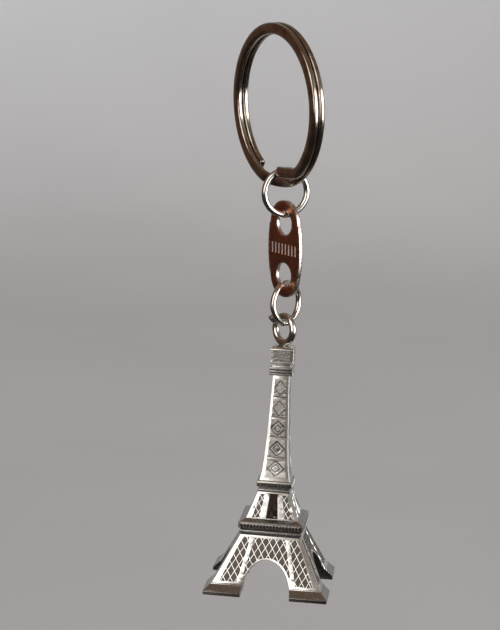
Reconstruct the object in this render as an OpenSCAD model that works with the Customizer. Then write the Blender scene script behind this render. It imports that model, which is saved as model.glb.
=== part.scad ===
// Souvenir keychain: a split ring, two jump rings, an oval link tag and a
// cast lattice-tower charm, hanging as one chain.
// Millimetres, +Z up, tower front faces -Y. The origin is the inner top of the
// split ring, the point that the keychain hangs from.

/* [Tower charm] */
// Width of the square base over the four feet
base_w = 22; // [20:0.5:24]
// Height from the feet to the top of the cap
tower_h = 43.5; // [41:0.5:46]
// Half width of each arch at the ground
arch_r = 4.35; // [3.8:0.05:4.6]
// Height of each arch
arch_h = 6.1; // [5:0.1:6.6]
// Depth of the sunk panels on the legs and the spire
panel_depth = 0.25; // [0.15:0.05:0.35]
// Spacing of the lattice bars in the leg panels
lattice_pitch = 1.7; // [1.5:0.1:2.4]
// Width of a lattice bar
lattice_bar = 0.22; // [0.18:0.02:0.3]
// Outer diameter of the cast loop on the cap
loop_od = 6; // [5.8:0.1:6.4]
// Wire thickness of the cast loop
loop_wire = 1.3; // [1.2:0.05:1.4]

/* [Jump rings] */
// Outer diameter of the ring on the tower's loop
lower_od = 8.4; // [8.2:0.1:8.8]
// Wire diameter of the ring on the tower's loop
lower_wire = 1.1; // [1:0.05:1.1]
// Outer diameter of the ring on the split ring
upper_od = 9; // [8.8:0.1:9.2]
// Wire diameter of the ring on the split ring
upper_wire = 1.15; // [1.05:0.05:1.15]

/* [Link tag] */
// Length of the oval tag
tag_l = 17.2; // [16.8:0.1:18]
// Width of the oval tag at its middle
tag_w = 9.2; // [8.6:0.1:9.6]
// Thickness of the tag
tag_t = 0.8; // [0.6:0.05:0.85]
// Diameter of the tag's two holes
tag_hole_d = 4.2; // [3.8:0.1:4.3]

/* [Split ring] */
// Outer diameter of the split ring
split_od = 28.5; // [27:0.5:30]
// Radial height of the ring's wire
split_radial = 2; // [1.8:0.1:2.1]
// Thickness of one coil along the ring's axis
coil_t = 1.17; // [1:0.01:1.2]

/* [Hidden] */
$fn = 96;
nickel = [0.78, 0.77, 0.74];
steel = [0.66, 0.64, 0.6];
bronze = [0.5, 0.36, 0.26];

// clearances at the four pivots
run = 0.05;
ks = base_w / 22;       // plan scale of the tower
kz = tower_h / 43.5;    // height scale of the tower

// chain geometry, measured up the chain from the tower's pivot
lower_r = (lower_od - lower_wire) / 2;
upper_r = (upper_od - upper_wire) / 2;
split_r = (split_od - split_radial) / 2;
split_ri = split_od / 2 - split_radial;
hole_z = 4.6 + (tag_l - 17.2) / 2;              // hole centres from the tag's middle
bar_in = hole_z + tag_hole_d / 2;               // inner edge of each end bar
bar_mid = (bar_in + tag_l / 2) / 2;             // middle of each end bar
bar_half = norm([tag_l / 2 - bar_in, tag_t]) / 2 + 0.02;
lower_c = lower_r;
z_bar = lower_c + lower_r - lower_wire / 2 - bar_half;      // pivot of the lower ring on the tag
z_tag = z_bar + bar_mid;
z_wire = z_tag + bar_in - upper_wire / 2 - run;             // pivot of the tag on the upper ring
z_upper = z_wire + upper_r;
seat = [-0.78, 0, 1.94];                                    // pivot of the upper ring on the split ring, from the upper ring's middle

// azimuths of each flat part's normal, about +Z from -Y
az_loop = -45;
az_lower = 57;
az_tag = -48;
az_upper = 26;
az_split = -55;
// the links hang a little off plumb, as they rest by friction
lean_x = 3.27;
lean_y = -2.33;
split_lean = -5.8;
seat_a = 267;         // where the upper ring crosses the split ring's wire
coil_gap = 0.06;
coil_off = (coil_t + coil_gap) / 2;
jog_mid = 259;        // where the wire steps from the front coil to the rear one
jog_half = 9;

loop_z = tower_h + loop_od / 2 - 0.2;
pivot_z = loop_z + loop_od / 2 - loop_wire - lower_wire / 2 - 0.09;

function ry(v, a) = [v[0] * cos(a) + v[2] * sin(a), v[1], -v[0] * sin(a) + v[2] * cos(a)];
function rx(v, a) = [v[0], v[1] * cos(a) - v[2] * sin(a), v[1] * sin(a) + v[2] * cos(a)];
function rz(v, a) = [v[0] * cos(a) - v[1] * sin(a), v[0] * sin(a) + v[1] * cos(a), v[2]];
function up_chain(l) = [0, 0, pivot_z] + ry(rx([0, 0, l], lean_x), lean_y);
function on_upper(v) = [0, 0, pivot_z] + ry(rx(rz(v, az_upper) + [0, 0, z_upper], lean_x), lean_y);
seat_wire = [split_r * cos(seat_a), coil_off * (seat_a - jog_mid) / jog_half, split_r * sin(seat_a)];
function on_split(p) = on_upper(seat) + ry(rz(p - seat_wire, az_split), split_lean);
hang = on_split([0, 0, split_ri]);

module in_chain(l, az) {
    translate(up_chain(l) - hang) rotate([0, lean_y, 0]) rotate([lean_x, 0, 0]) rotate([0, 0, az]) children();
}

// ---- tower ----------------------------------------------------------------
// half widths and heights up the tower, [half width, height]
legs = [[11, 0], [11, 0.6], [9.78, 1.8], [9.78, 1.92], [9.55, 1.92], [5.4, 9.9]];
deck_1 = [[5.4, 9.9], [5.4, 10.3], [5.6, 10.3], [5.6, 10.75], [5.45, 10.75], [5.45, 11.15], [5.85, 11.15], [5.85, 12.25], [4.75, 12.72]];
middle = [[4.62, 12.72], [3.6, 15.4], [2.95, 17.3]];
deck_2 = [[2.82, 17.3], [3, 17.3], [3, 17.75], [2.85, 17.75], [2.85, 18.2], [3.12, 18.2], [3.22, 18.5], [3.22, 19], [3.1, 19.3]];
spire = [[2.77, 19.3], [2.45, 21], [2.25, 23], [2, 27], [1.83, 31], [1.66, 35], [1.53, 38.25]];
collar = [[2.05, 38.25], [2.17, 38.4], [2.17, 39.7], [2.05, 39.85], [1.75, 39.85], [1.75, 40.4]];
cap = [[2, 40.4], [2.15, 40.55], [2.15, 43], [1.8, 43.38], [0.8, 43.5]];

// a solid with a square plan whose half width follows a profile
module stack(p) {
    pts = concat([for (q = p) [q[0] * ks, q[1] * kz]], [for (i = [len(p) - 1 : -1 : 0]) [-p[i][0] * ks, p[i][1] * kz]]);
    intersection() {
        rotate([90, 0, 0]) linear_extrude(height = 30, center = true) polygon(pts);
        rotate([90, 0, 90]) linear_extrude(height = 30, center = true) polygon(pts);
    }
}
function sunk(p) = [for (q = p) [q[0] - panel_depth * 1.12 / ks, q[1]]];

// the arch under the tower, through both opposite sides
module body_stack() {
    for (p = [legs, deck_1, middle, deck_2, spire, collar, cap]) stack(p);
}
module arch() {
    rotate([90, 0, 0]) linear_extrude(height = 30, center = true)
        polygon([for (i = [0 : 32]) let (a = -6 + 192 * i / 32) [arch_r * cos(a), arch_h * sin(a)]]);
}
function leg_out(z) = 9.55 - (z - 1.92) * 4.15 / 7.98;
function leg_in(z) = 4.45 - (z - 2.42) * 1.75 / 7.48;
function arch_rim(z) = z < arch_h + 0.75 ? (arch_r + 0.75) * sqrt(max(0, 1 - pow(z / (arch_h + 0.75), 2))) : 0;

// sunk panels of one leg face, of the spandrel over the arch, of the middle and of the spire
module panels_2d() {
    for (m = [0, 1]) mirror([m, 0]) {
        polygon([[(leg_in(2.3) + 0.75) * ks, 2.3 * kz], [(leg_out(2.3) - 0.95) * ks, 2.3 * kz],
                 [(leg_out(9.5) - 0.75) * ks, 9.5 * kz], [(leg_in(9.5) + 0.55) * ks, 9.5 * kz]]);
        polygon([[2.35 * ks, 13.05 * kz], [3.75 * ks, 13.05 * kz], [2.62 * ks, 16.9 * kz], [1.68 * ks, 16.9 * kz]]);
    }
    polygon(concat([for (i = [0 : 12]) let (z = 5.6 + (arch_h + 0.75 - 5.6) * i / 12) [-arch_rim(z) * ks, z * kz]],
        [for (i = [11 : -1 : 0]) let (z = 5.6 + (arch_h + 0.75 - 5.6) * i / 12) [arch_rim(z) * ks, z * kz]],
        [[(leg_in(5.6) - 0.25) * ks, 5.6 * kz], [(leg_in(9.5) - 0.25) * ks, 9.5 * kz],
         [-(leg_in(9.5) - 0.25) * ks, 9.5 * kz], [-(leg_in(5.6) - 0.25) * ks, 5.6 * kz]]));
    polygon([[-1.25 * ks, 12.95 * kz], [1.25 * ks, 12.95 * kz], [0.85 * ks, 17.0 * kz], [-0.85 * ks, 17.0 * kz]]);
    // five stacked fields up the spire, divided by slim cross bars
    for (i = [0 : 4]) let (z0 = 20.1 + i * 3.52, z1 = z0 + 3.2, w0 = spire_w(z0) - 0.52, w1 = spire_w(z1) - 0.52)
        polygon([[-w0 * ks, z0 * kz], [w0 * ks, z0 * kz], [w1 * ks, z1 * kz], [-w1 * ks, z1 * kz]]);
}
function spire_w(z) = lookup(z, [for (q = spire) [q[1], q[0]]]);

// crossing bars left standing in the sunk panels
module bars_2d() {
    for (s = [-1, 1], i = [-9 : 9]) translate([i * lattice_pitch, 6 * kz]) rotate(s * 32)
        square([lattice_bar, 18], center = true);
    for (s = [-1, 1], i = [-3 : 3]) translate([i * lattice_pitch, 15 * kz]) rotate(s * 40)
        square([lattice_bar, 7.2], center = true);
}
module panel_cuts() {
    difference() {
        for (a = [0, 90, 180, 270]) rotate([0, 0, a])
            rotate([90, 0, 0]) linear_extrude(height = 13) difference() {
                panels_2d();
                bars_2d();
            }
        union() {
            stack(sunk([legs[4], legs[5]]));
            stack(sunk(middle));
            stack(sunk(spire));
        }
    }
}

module tower_charm() {
    color(nickel) translate(-hang) union() {
        difference() {
            body_stack();
            arch();
            rotate([0, 0, 90]) arch();
            panel_cuts();
        }
        // cast loop, its lowest wire sunk into the cap
        translate([0, 0, loop_z]) rotate([0, 0, az_loop]) rotate([90, 0, 0])
            rotate_extrude() translate([(loop_od - loop_wire) / 2, 0]) circle(d = loop_wire, $fn = 32);
    }
}

// ---- lower jump ring: closed past its own end -------------------------------
// an arc of wire in the XZ plane, from angle a0 to a1
module wire_arc(r, d, a0, a1) {
    rotate([90, 0, 0]) rotate([0, 0, a0]) rotate_extrude(angle = a1 - a0) translate([r, 0]) circle(d = d, $fn = 32);
}
// turns its children about the radius at angle a
module twist_at(a, t) {
    rotate([0, -a, 0]) rotate([t, 0, 0]) rotate([0, a, 0]) children();
}
end_twist = 10;
tail_twist = 20;
tail_from = 282;
lower_shift = lower_r * sin(tail_from - 270) * sin(tail_twist);
module lower_jump_ring() {
    color(steel) in_chain(lower_c, az_lower) translate([0, -lower_shift, 0]) union() {
        wire_arc(lower_r, lower_wire, -(360 - tail_from), 180);
        twist_at(180, end_twist) wire_arc(lower_r, lower_wire, 180, 248);
        twist_at(tail_from, tail_twist) wire_arc(lower_r, lower_wire, 215, tail_from);
        rotate([0, -180, 0]) translate([lower_r, 0, 0]) sphere(d = lower_wire + 0.04, $fn = 32);
        rotate([0, -tail_from, 0]) translate([lower_r, 0, 0]) sphere(d = lower_wire + 0.04, $fn = 32);
    }
}

// ---- upper jump ring: closed butt to butt ------------------------------------
module upper_jump_ring() {
    color(steel) in_chain(z_upper, az_upper) wire_arc(upper_r, upper_wire, 41, 399.2);
}

// ---- tag -----------------------------------------------------------------------
module tag_outline() {
    side_r = 22;
    end_r = tag_w / 2 - 0.4;
    intersection() {
        translate([side_r - tag_w / 2, 0]) circle(r = side_r, $fn = 96);
        translate([-(side_r - tag_w / 2), 0]) circle(r = side_r, $fn = 96);
        union() {
            square([2 * end_r, tag_l - 2 * end_r], center = true);
            translate([0, tag_l / 2 - end_r]) circle(r = end_r, $fn = 64);
            translate([0, -(tag_l / 2 - end_r)]) circle(r = end_r, $fn = 64);
            square([tag_w + 1, tag_l - 2 * end_r], center = true);
        }
    }
}
module tag_plate() {
    color(bronze) in_chain(z_tag, az_tag) rotate([90, 0, 0]) difference() {
        linear_extrude(height = tag_t, center = true) tag_outline();
        for (s = [-1, 1]) translate([0, s * hole_z, 0]) cylinder(d = tag_hole_d, h = 3, center = true, $fn = 64);
        // a row of plain stamped bars on each face
        for (f = [0, 180]) rotate([0, f, 0]) for (i = [-3 : 3])
            translate([i * 1.05, 0, tag_t / 2]) cube([0.4, i % 2 == 0 ? 1.9 : 1.3, 0.24], center = true);
    }
}

// ---- split ring ------------------------------------------------------------------
module coil_section(less = 0) {
    r = 0.32;
    for (i = [-1, 1], j = [-1, 1]) translate([i * (split_radial / 2 - r), j * (coil_t / 2 - r)]) circle(r = r - less, $fn = 24);
    square([split_radial - 2 * r, coil_t - 2 * less], center = true);
    square([split_radial - 2 * less, coil_t - 2 * r], center = true);
}
module coil(y, a0, a1) {
    translate([0, y, 0]) rotate([90, 0, 0]) rotate([0, 0, a0])
        rotate_extrude(angle = a1 - a0) translate([split_r, 0]) coil_section();
}
bend_from = 306;
bend_r = 4;
tip_l = 5;
module split_ring() {
    off = coil_off;
    jog_l = 2 * split_r * sin(jog_half);
    color(steel) translate(on_split([0, 0, 0]) - hang) rotate([0, split_lean, 0]) rotate([0, 0, az_split]) union() {
        coil(-off, bend_from, 360 + jog_mid - jog_half + 1.5);
        // the front coil's free end is bent in, over the jump ring; it is a hair thinner, and starts inside the coil
        translate([0, -off, 0]) rotate([90, 0, 0])
            translate([(split_r - bend_r) * cos(bend_from), (split_r - bend_r) * sin(bend_from), 0]) {
                rotate([0, 0, 270]) rotate_extrude(angle = bend_from - 270 + 3) translate([bend_r, 0]) coil_section(0.04);
                translate([0, -bend_r, 0]) rotate([0, -90, 0]) linear_extrude(height = tip_l) rotate(90) coil_section(0.04);
            }
        coil(off, jog_mid + jog_half - 1.5, 360 + 235);
        // the wire steps from one coil to the other between its two ends
        rotate([0, -jog_mid, 0]) translate([split_r * cos(jog_half) + 0.03, 0, 0])
            rotate([-atan(2 * off / jog_l), 0, 0]) translate([0, 0, -jog_l * 0.52]) linear_extrude(height = jog_l * 1.04)
                coil_section();
    }
}

split_ring();
upper_jump_ring();
tag_plate();
lower_jump_ring();
tower_charm();
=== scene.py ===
import bpy, bmesh, math
import numpy as np
from mathutils import Vector, Matrix
from mathutils.geometry import delaunay_2d_cdt


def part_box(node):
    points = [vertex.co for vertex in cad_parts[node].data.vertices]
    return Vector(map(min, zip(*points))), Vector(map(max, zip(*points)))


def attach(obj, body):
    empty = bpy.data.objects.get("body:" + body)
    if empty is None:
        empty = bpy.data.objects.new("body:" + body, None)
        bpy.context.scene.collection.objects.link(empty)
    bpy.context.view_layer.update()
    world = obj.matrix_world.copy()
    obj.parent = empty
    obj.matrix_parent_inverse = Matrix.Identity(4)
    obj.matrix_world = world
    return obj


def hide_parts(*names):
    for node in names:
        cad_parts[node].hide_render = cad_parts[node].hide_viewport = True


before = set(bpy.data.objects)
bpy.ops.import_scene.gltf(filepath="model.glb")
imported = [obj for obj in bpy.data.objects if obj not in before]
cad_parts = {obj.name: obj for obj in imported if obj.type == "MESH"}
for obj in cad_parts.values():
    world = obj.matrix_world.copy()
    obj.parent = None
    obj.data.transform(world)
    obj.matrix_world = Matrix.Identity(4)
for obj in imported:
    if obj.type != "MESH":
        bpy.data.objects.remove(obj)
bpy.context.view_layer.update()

# ---------------------------------------------------------------------------
# dimensions, millimetres, the same as the CAD model's
# ---------------------------------------------------------------------------
LOOP_OD, LOOP_WIRE, TOWER_H = 6.0, 1.3, 43.5
LOWER_OD, LOWER_WIRE = 8.4, 1.1
UPPER_OD, UPPER_WIRE = 9.0, 1.15
TAG_L, TAG_W, TAG_T, HOLE_D = 17.2, 9.2, 0.8, 4.2
SPLIT_OD, SPLIT_RADIAL, COIL_T, COIL_GAP = 28.5, 2.0, 1.17, 0.06
RUN = 0.05
SEAT, SEAT_A, JOG_MID, JOG_HALF = np.array([-0.78, 0, 1.94]), 267, 259, 9
BEND_FROM, BEND_R, TIP_L, REAR_END = 306, 4.0, 5.0, 235
AZ_LOOP, AZ_LOWER, AZ_TAG, AZ_UPPER, AZ_SPLIT = -45, 57, -48, 26, -55
LEAN_X, LEAN_Y, SPLIT_LEAN = 3.27, -2.33, -5.8
END_TWIST, TAIL_TWIST, TAIL_FROM = 10, 20, 282
ARCH_R, ARCH_H = 4.35, 6.1


def S(a): return math.sin(math.radians(a))
def C(a): return math.cos(math.radians(a))
def RX(a): return np.array([[1, 0, 0], [0, C(a), -S(a)], [0, S(a), C(a)]])
def RY(a): return np.array([[C(a), 0, S(a)], [0, 1, 0], [-S(a), 0, C(a)]])
def RZ(a): return np.array([[C(a), -S(a), 0], [S(a), C(a), 0], [0, 0, 1]])


lower_r = (LOWER_OD - LOWER_WIRE) / 2
upper_r = (UPPER_OD - UPPER_WIRE) / 2
split_r = (SPLIT_OD - SPLIT_RADIAL) / 2
split_ri = SPLIT_OD / 2 - SPLIT_RADIAL
hole_z = 4.6
bar_in = hole_z + HOLE_D / 2
bar_mid = (bar_in + TAG_L / 2) / 2
bar_half = math.hypot(TAG_L / 2 - bar_in, TAG_T) / 2 + 0.02
lower_c = lower_r
z_bar = lower_c + lower_r - LOWER_WIRE / 2 - bar_half
z_tag = z_bar + bar_mid
z_wire = z_tag + bar_in - UPPER_WIRE / 2 - RUN
z_upper = z_wire + upper_r
coil_off = (COIL_T + COIL_GAP) / 2
loop_z = TOWER_H + LOOP_OD / 2 - 0.2
pivot_z = loop_z + LOOP_OD / 2 - LOOP_WIRE - LOWER_WIRE / 2 - 0.09
RC = RY(LEAN_Y) @ RX(LEAN_X)
RS = RY(SPLIT_LEAN) @ RZ(AZ_SPLIT)


def up_chain(l):
    return np.array([0, 0, pivot_z]) + RC @ np.array([0, 0, l])


def on_upper(v):
    return np.array([0, 0, pivot_z]) + RC @ (RZ(AZ_UPPER) @ np.array(v, float) + np.array([0, 0, z_upper]))


seat_wire = np.array([split_r * C(SEAT_A), coil_off * (SEAT_A - JOG_MID) / JOG_HALF, split_r * S(SEAT_A)])


def on_split(p):
    return on_upper(SEAT) + RS @ (np.array(p, float) - seat_wire)


hang = on_split([0, 0, split_ri])
lo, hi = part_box("tower_charm")
base = np.array([(lo[0] + hi[0]) / 2, (lo[1] + hi[1]) / 2, lo[2]]) * 1000.0   # foot plane's centre in the row frame

# ---------------------------------------------------------------------------
# seeded value noise
# ---------------------------------------------------------------------------


def noise(p, scale, seed=0):
    """Smooth value noise in -1..1 at points p (n, 3), one cell per 1/scale mm."""
    q = np.asarray(p, float) * scale + 97.13 + seed * 13.7
    i = np.floor(q).astype(np.int64)
    f = q - i
    f = f * f * (3 - 2 * f)

    def h(ix, iy, iz):
        n = (ix * 374761393 + iy * 668265263 + iz * 2147483647 + seed * 1274126177) & 0xFFFFFFFF
        n = ((n ^ (n >> 13)) * 1274126177) & 0xFFFFFFFF
        n = (n ^ (n >> 16)) & 0xFFFFFFFF
        return n / 2147483647.5 - 1.0
    out = 0
    for dx in (0, 1):
        for dy in (0, 1):
            for dz in (0, 1):
                w = (f[:, 0] if dx else 1 - f[:, 0]) * (f[:, 1] if dy else 1 - f[:, 1]) * (f[:, 2] if dz else 1 - f[:, 2])
                out = out + w * h(i[:, 0] + dx, i[:, 1] + dy, i[:, 2] + dz)
    return out


def smooth(a, b, x):
    t = np.clip((x - a) / (b - a), 0, 1)
    return t * t * (3 - 2 * t)


# ---------------------------------------------------------------------------
# mesh helpers
# ---------------------------------------------------------------------------


def new_object(name, verts_mm, faces, attrs=None, uvs=None):
    me = bpy.data.meshes.new(name)
    me.from_pydata([tuple(v) for v in (np.asarray(verts_mm) * 0.001).tolist()], [], [tuple(f) for f in faces])
    if attrs:
        for k, v in attrs.items():
            a = me.attributes.new(k, "FLOAT", "POINT")
            a.data.foreach_set("value", np.asarray(v, dtype=np.float32))
    if uvs is not None:
        layer = me.uv_layers.new(name="UVMap")
        vi = np.empty(len(me.loops), dtype=np.int32)
        me.loops.foreach_get("vertex_index", vi)
        layer.data.foreach_set("uv", np.asarray(uvs, dtype=np.float32)[vi].ravel())
    me.update()
    o = bpy.data.objects.new(name, me)
    bpy.context.scene.collection.objects.link(o)
    return o


def tidy(o, dist_mm=0.0015, flip=True):
    bm = bmesh.new()
    bm.from_mesh(o.data)
    bmesh.ops.remove_doubles(bm, verts=bm.verts, dist=dist_mm * 0.001)
    bmesh.ops.dissolve_degenerate(bm, edges=bm.edges, dist=1e-7)
    if flip:
        bmesh.ops.recalc_face_normals(bm, faces=bm.faces)
    bm.to_mesh(o.data)
    bm.free()


def shade(o, angle=40):
    me = o.data
    bm = bmesh.new()
    bm.from_mesh(me)
    lim = math.radians(angle)
    for f in bm.faces:
        f.smooth = True
    for e in bm.edges:
        e.smooth = not (len(e.link_faces) == 2 and e.calc_face_angle(0) > lim)
    bm.to_mesh(me)
    bm.free()


def sweep(path, normals, section, closed=False, chamfer=0.0, uv_len=None):
    """A tube along path (n, 3). normals are the section's first axis at each point; section is (m, 2), first axis then second."""
    P = np.asarray(path, float)
    n, m = len(P), len(section)
    T = np.gradient(P, axis=0)
    if closed:
        T = np.roll(P, -1, 0) - np.roll(P, 1, 0)
    T /= np.linalg.norm(T, axis=1)[:, None]
    A = np.asarray(normals, float)
    A = A - (A * T).sum(1)[:, None] * T
    A /= np.linalg.norm(A, axis=1)[:, None]
    B = np.cross(T, A)
    sec = np.asarray(section, float)
    rings, us = [], []
    L = np.concatenate([[0], np.cumsum(np.linalg.norm(np.diff(P, axis=0), axis=1))])
    for i in range(n):
        rings.append(P[i] + sec[:, :1] * A[i] + sec[:, 1:] * B[i])
        us.append(L[i])
    if not closed and chamfer:
        k = 1 - chamfer / np.abs(sec).max()
        for at, s in ((0, -1), (n - 1, 1)):
            c = P[at]
            r1 = c + (sec[:, :1] * A[at] + sec[:, 1:] * B[at]) * (1 - 0.35 * (1 - k)) + T[at] * s * chamfer * 0.6
            r2 = c + (sec[:, :1] * A[at] + sec[:, 1:] * B[at]) * k + T[at] * s * chamfer
            if at == 0:
                rings = [r2, r1] + rings
                us = [L[0] - chamfer, L[0] - chamfer * 0.6] + us
            else:
                rings += [r1, r2]
                us += [L[-1] + chamfer * 0.6, L[-1] + chamfer]
    V = np.vstack(rings)
    R = len(rings)
    F = []
    for i in range(R if closed else R - 1):
        a, b = i * m, ((i + 1) % R) * m
        for j in range(m):
            k2 = (j + 1) % m
            F.append((a + j, a + k2, b + k2, b + j))
    if not closed:
        F.append(tuple(range(m - 1, -1, -1)))
        F.append(tuple((R - 1) * m + j for j in range(m)))
    uv = np.array([(us[i], j / m) for i in range(R) for j in range(m)])
    return V, F, uv


def circle_section(d, m=28):
    a = np.linspace(0, 2 * np.pi, m, endpoint=False)
    return np.c_[np.cos(a), np.sin(a)] * d / 2


def row(v, off=None):
    """Tower-frame millimetres to row-frame millimetres."""
    return np.asarray(v) - hang


# ---------------------------------------------------------------------------
# split ring
# ---------------------------------------------------------------------------


def build_split_ring():
    off = coil_off
    # the bent free end, then the front coil, the step across, and the rear coil
    c = split_r - BEND_R
    cx_, cz_ = c * C(BEND_FROM), c * S(BEND_FROM)
    P, N = [], []
    for t in np.linspace(0.16, TIP_L, 9)[:-1]:
        P.append((cx_ - TIP_L + t, -off, cz_ - BEND_R + 0.05 * (1 - t / TIP_L) ** 2)); N.append((0, 0, -1))
    for a_ in np.linspace(270, BEND_FROM, 13)[:-1]:
        P.append((cx_ + BEND_R * C(a_), -off, cz_ + BEND_R * S(a_))); N.append((C(a_), 0, S(a_)))
    A = np.arange(BEND_FROM, 360 + 360 + REAR_END - 0.6, 1.25)
    y = -off + 2 * off * np.clip((A - (360 + JOG_MID - JOG_HALF)) / (2 * JOG_HALF), 0, 1)
    k = np.ones(7) / 7
    y[3:-3] = np.convolve(y, k, "valid")
    y = y + 0.025 * smooth(720 + REAR_END - 25, 720 + REAR_END, A)
    a_ = np.radians(A)
    R = split_r - 0.012 + 0.008 * np.sin(a_ * 3 + 0.4) + 0.006 * np.sin(a_ * 5 + 2)
    P = np.vstack([P, np.c_[R * np.cos(a_), y, R * np.sin(a_)]])
    N = np.vstack([N, np.c_[np.cos(a_), 0 * a_, np.sin(a_)]])
    m = 44
    s_ = np.linspace(0, 2 * np.pi, m, endpoint=False)
    ex = 3.0
    cx2 = np.sign(np.cos(s_)) * np.abs(np.cos(s_)) ** (2 / ex)
    sy2 = np.sign(np.sin(s_)) * np.abs(np.sin(s_)) ** (2 / ex)
    sec = np.c_[cx2 * (SPLIT_RADIAL / 2 - 0.012), sy2 * (COIL_T / 2 - 0.004)]
    V, F, uv = sweep(P, N, sec, chamfer=0.16)
    V = V @ RS.T + on_split([0, 0, 0])
    o = new_object("split_ring_wire", row(V), F, uvs=uv * [0.05, 1])
    tidy(o)
    shade(o, 50)
    return o


# ---------------------------------------------------------------------------
# jump rings
# ---------------------------------------------------------------------------


def build_upper_ring():
    A = np.radians(np.arange(41, 399.3, 2.0))
    P = np.c_[upper_r * np.cos(A), 0.035 * np.sin(A - A[0]) + np.linspace(-0.02, 0.02, len(A)), upper_r * np.sin(A)]
    N = np.c_[np.cos(A), 0 * A, np.sin(A)]
    V, F, uv = sweep(P, N, circle_section(UPPER_WIRE - 0.01), chamfer=0.05)
    V = V @ (RC @ RZ(AZ_UPPER)).T + up_chain(z_upper)
    o = new_object("upper_jump_ring_wire", row(V), F, uvs=uv * [0.05, 1])
    tidy(o)
    shade(o, 50)
    return o


def twist(P, a, t):
    return P @ (RY(-a) @ RX(t) @ RY(a)).T


def build_lower_ring():
    r = lower_r
    arc = lambda a: np.c_[r * np.cos(np.radians(a)), 0 * a, r * np.sin(np.radians(a))]
    left = twist(arc(np.arange(248, 180, -2.0)), 180, END_TWIST)
    mid = arc(np.arange(180, -78, -2.0))
    tail = twist(arc(np.arange(282 - 2, 214.9, -2.0)), TAIL_FROM, TAIL_TWIST)
    P = np.vstack([left, mid, tail])
    for _ in range(3):
        Q = P.copy()
        Q[1:-1] = (P[:-2] + 2 * P[1:-1] + P[2:]) / 4
        P = Q
    P[:, 1] -= r * S(TAIL_FROM - 270) * S(TAIL_TWIST)
    N = P * [1, 0, 1]
    N /= np.linalg.norm(N, axis=1)[:, None]
    V, F, uv = sweep(P, N, circle_section(LOWER_WIRE - 0.01), chamfer=0.06)
    V = V @ (RC @ RZ(AZ_LOWER)).T + up_chain(lower_c)
    o = new_object("lower_jump_ring_wire", row(V), F, uvs=uv * [0.05, 1])
    tidy(o)
    shade(o, 50)
    return o


# ---------------------------------------------------------------------------
# tag
# ---------------------------------------------------------------------------


def tag_outline(n=140, inset=0.0):
    """Intersection of two side arcs and rounded ends, as radius by angle."""
    side_r, end_r = 22.0, TAG_W / 2 - 0.4
    pts = []
    for i in range(n):
        a = 2 * math.pi * i / n
        d = np.array([math.cos(a), math.sin(a)])
        lo_, hi_ = 0.0, 12.0
        for _ in range(40):
            r = (lo_ + hi_) / 2
            x, z = abs(d[0] * r), abs(d[1] * r)
            k = TAG_L / 2 - end_r
            # signed distances, blended where the arcs meet the ends
            d1 = math.hypot(x + side_r - TAG_W / 2, z) - side_r
            d2 = (math.hypot(x, max(z - k, 0)) - end_r) if z > k else x - TAG_W / 2 - 0.5
            b = 0.9
            dist = max(d1, d2) + (max(b - abs(d1 - d2), 0) ** 2) / (4 * b) * 0.6
            if dist + inset < 0:
                lo_ = r
            else:
                hi_ = r
        pts.append(d * lo_)
    P = np.array(pts)
    # even spacing along the outline
    Q = np.vstack([P, P[:1]])
    L = np.concatenate([[0], np.cumsum(np.linalg.norm(np.diff(Q, axis=0), axis=1))])
    u = np.linspace(0, L[-1], n, endpoint=False)
    return np.c_[np.interp(u, L, Q[:, 0]), np.interp(u, L, Q[:, 1])]


def mark_shapes():
    """Plain stamped marks in one band: equal upright bars, evenly spaced."""
    h = 0.95
    bar = np.array([(-0.2, -h), (0.2, -h), (0.2, h), (-0.2, h)])
    return [(-3.29 + 0.94 * i, bar) for i in range(8)]


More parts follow.
